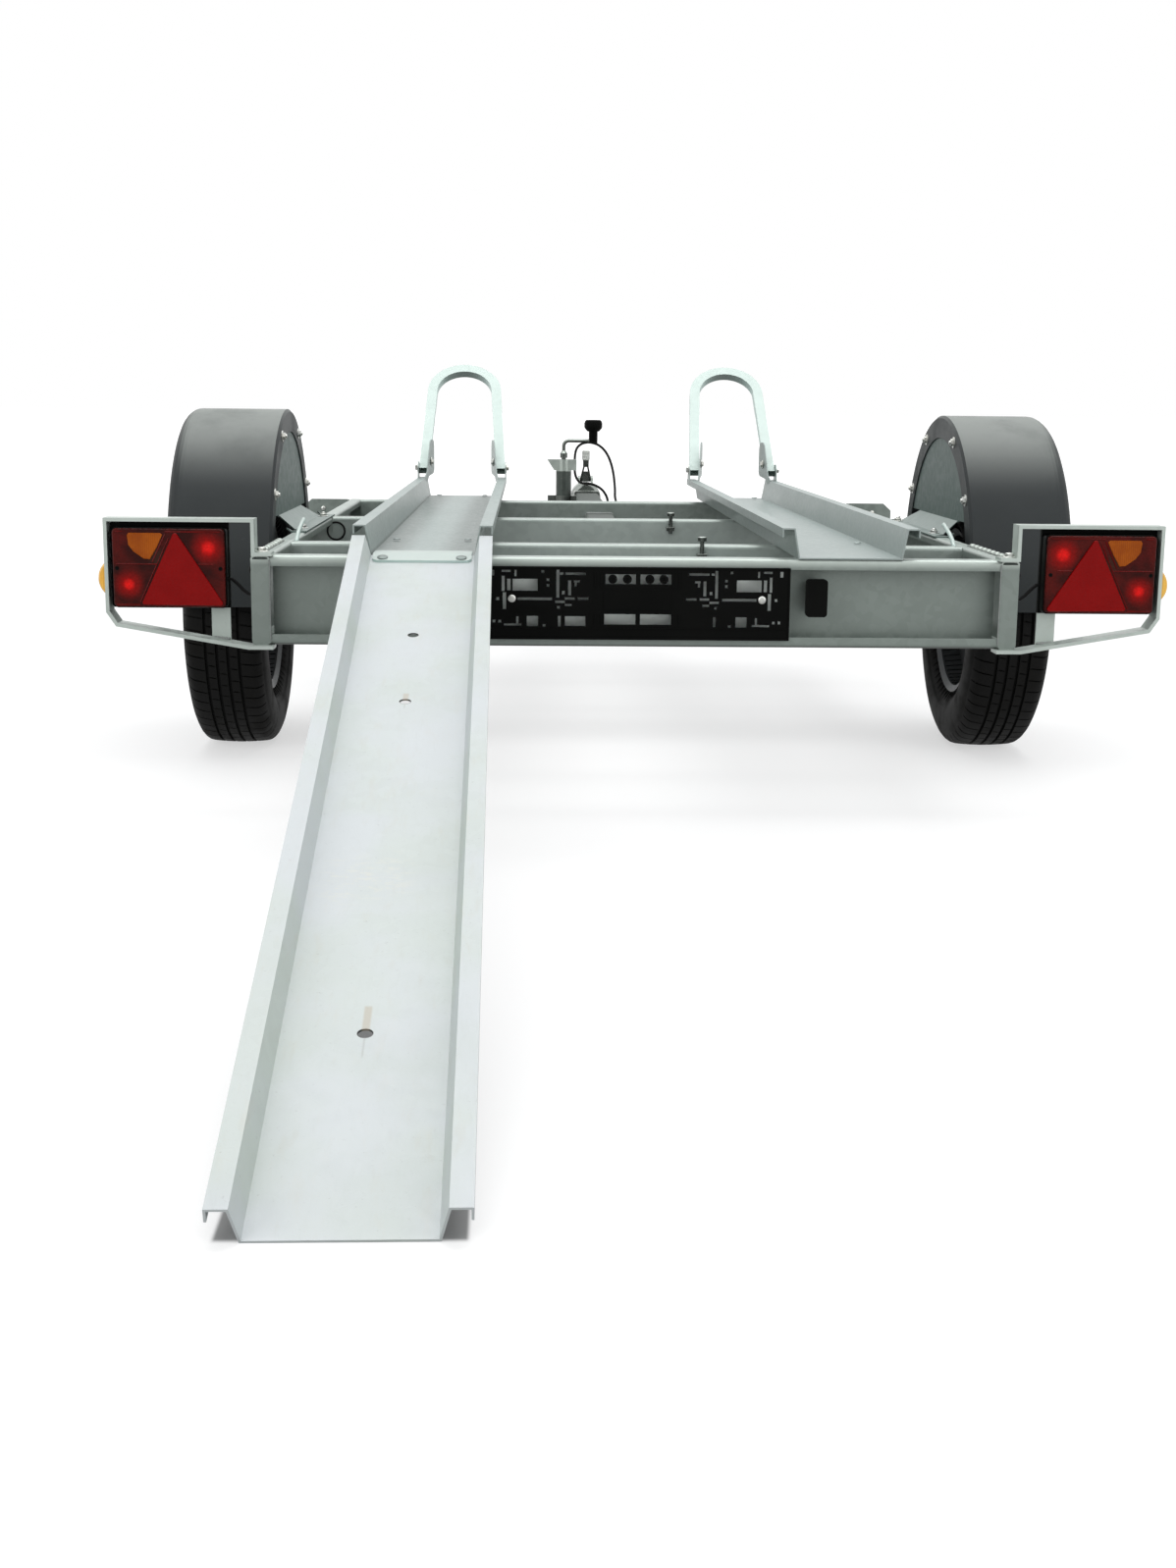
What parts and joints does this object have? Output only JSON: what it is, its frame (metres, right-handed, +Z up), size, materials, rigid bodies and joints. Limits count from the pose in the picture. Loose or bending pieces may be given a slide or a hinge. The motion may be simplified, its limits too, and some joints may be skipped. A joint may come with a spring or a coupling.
{
  "type": "motorcycle trailer",
  "caption": "Single-axle trailer frame of galvanised channels with wheel rails and hoops for motorcycles, a loading ramp, mudguards, lamps, ball coupling and jockey wheel.",
  "frame": {"origin": "on the ground under the centre of the overall length and width", "axes": "+Z up, +Y along the trailer towards its coupling, +X towards the trailer's right-hand side as seen from behind, looking forward"},
  "size_m": [1.82, 4.8242, 0.8188],
  "materials": {
    "galvanised_steel": "satin hot-dip galvanised",
    "axle_steel": "dull grey",
    "hub_iron": "dark cast surface",
    "tyre_rubber": "matt black",
    "rim_paint": "silver paint",
    "mudguard_plastic": "dark grey, slight sheen",
    "rail_galvanised": "galvanised sheet, slightly dulled",
    "bright_galvanised": "bright zinc, nearly white",
    "black_plastic": "black",
    "red_lens": "deep red, glossy",
    "amber_lens": "amber, glossy",
    "white_lens": "clear white",
    "cable_black": "black",
    "zinc_plated": "zinc plated"
  },
  "bodies": {
    "trailer": {"rear_beam": "galvanised_steel", "front_beam": "galvanised_steel", "side_rail_left": "galvanised_steel", "side_rail_right": "galvanised_steel", "rear_crossmember": "galvanised_steel", "middle_crossmember": "galvanised_steel", "drawbar": "galvanised_steel", "axle_tube": "axle_steel", "swing_arms": "axle_steel", "mudguard_left": "mudguard_plastic", "mudguard_right": "mudguard_plastic", "mudguard_plate_left": "galvanised_steel", "mudguard_plate_right": "galvanised_steel", "wheel_rail_left": "rail_galvanised", "wheel_rail_right": "rail_galvanised", "hoop_left": "bright_galvanised", "hoop_right": "bright_galvanised", "ramp": "bright_galvanised", "ramp_cleat": "bright_galvanised", "lamp_guard_left": "bright_galvanised", "lamp_guard_right": "bright_galvanised", "lamp_housing_left": "black_plastic", "lamp_housing_right": "black_plastic", "lamp_lens_left": "red_lens", "lamp_lens_right": "red_lens", "side_marker_left": "amber_lens", "side_marker_right": "amber_lens", "plate_holder": "black_plastic", "plate_lamp": "black_plastic", "front_lamp_brackets": "galvanised_steel", "front_lamps": "white_lens", "lashing_hooks": "bright_galvanised", "lamp_leads": "cable_black", "coupling_body": "zinc_plated", "jockey_clamp": "zinc_plated", "jockey_mast": "zinc_plated", "cable_gland": "cable_black", "connector_cable": "cable_black", "connector_plug": "black_plastic"},
    "road_wheel_left": {"hubs_left": "hub_iron", "tyre_left": "tyre_rubber", "rim_left": "rim_paint"},
    "road_wheel_right": {"hubs_right": "hub_iron", "tyre_right": "tyre_rubber", "rim_right": "rim_paint"},
    "coupling_lever": {"coupling_handle": "zinc_plated"},
    "jockey_crank_screw": {"jockey_crank": "zinc_plated"},
    "jockey_inner_tube": {"jockey_leg": "zinc_plated"},
    "jockey_castor_fork": {"jockey_fork": "zinc_plated"},
    "jockey_castor_wheel": {"jockey_wheel": "tyre_rubber"}
  },
  "joints": [
    {"name": "road_wheel_left_spin", "type": "hinge", "parent": "trailer", "child": "road_wheel_left", "pos_m": [-0.795, 0.11706, 0.29], "axis": [1, 0, 0], "continuous": true},
    {"name": "road_wheel_right_spin", "type": "hinge", "parent": "trailer", "child": "road_wheel_right", "pos_m": [0.795, 0.11706, 0.29], "axis": [1, 0, 0], "continuous": true},
    {"name": "coupling_lever_lift", "type": "hinge", "parent": "trailer", "child": "coupling_lever", "pos_m": [0, 2.34006, 0.472], "axis": [-1, 0, 0], "range_deg": [0, 40]},
    {"name": "jockey_wheel_lift", "type": "slide", "parent": "trailer", "child": "jockey_inner_tube", "axis": [0, 0, 1], "range_m": [0, 0.12]},
    {"name": "jockey_crank_turn", "type": "hinge", "parent": "trailer", "child": "jockey_crank_screw", "pos_m": [-0.075, 2.13206, 0.541], "axis": [0, 0, 1], "range_deg": [0, 10801]},
    {"name": "jockey_castor_swivel", "type": "hinge", "parent": "jockey_inner_tube", "child": "jockey_castor_fork", "pos_m": [-0.075, 2.13206, 0.214], "axis": [0, 0, 1], "continuous": true},
    {"name": "jockey_castor_spin", "type": "hinge", "parent": "jockey_castor_fork", "child": "jockey_castor_wheel", "pos_m": [-0.075, 2.10706, 0.1], "axis": [1, 0, 0], "continuous": true}
  ],
  "couplings": [
    {"joint": "jockey_crank_turn", "follows": "jockey_wheel_lift", "rad_per_m": 1570.8}
  ]
}
